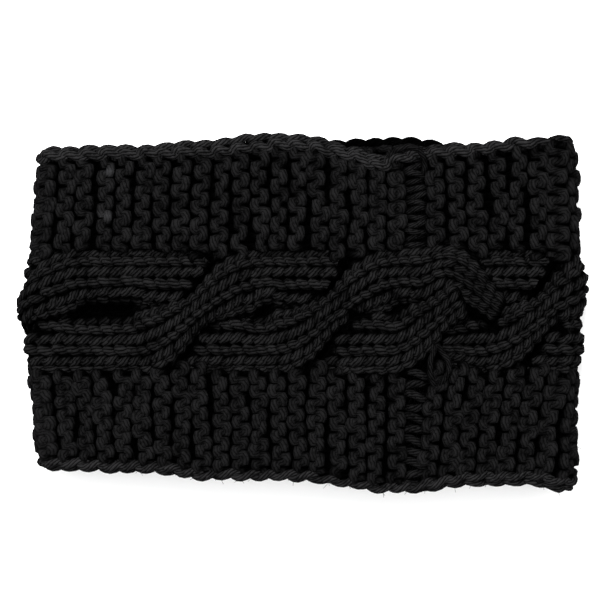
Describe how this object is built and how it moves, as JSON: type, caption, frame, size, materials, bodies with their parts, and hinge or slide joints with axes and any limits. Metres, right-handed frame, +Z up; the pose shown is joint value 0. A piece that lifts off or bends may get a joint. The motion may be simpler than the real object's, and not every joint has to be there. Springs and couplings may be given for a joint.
{
  "type": "ear warmer headband",
  "caption": "Knitted loop headband lying flat: garter stitch borders beside a rope cable, with chained edges and a sewn seam.",
  "frame": {"origin": "middle of the footprint, on the surface that the flat headband lies on", "axes": "+X from the left fold to the right fold, +Y across the band towards the upper border, +Z up out of the surface"},
  "size_m": [0.2236, 0.1388, 0.0283],
  "materials": {
    "cable_yarn": "near black plied wool yarn, knitted, matte",
    "garter_yarn": "near black plied wool yarn in garter stitch, matte",
    "edge_yarn": "near black plied wool yarn, chained edge, matte",
    "seam_yarn": "near black plied wool yarn, sewn ladder, matte"
  },
  "bodies": {
    "root": {"cable_strand_a": "cable_yarn", "cable_strand_b": "cable_yarn", "upper_border": "garter_yarn", "lower_border": "garter_yarn", "top_edge_chain": "edge_yarn", "bottom_edge_chain": "edge_yarn", "upper_seam": "seam_yarn", "lower_seam": "seam_yarn"}
  },
  "joints": []
}
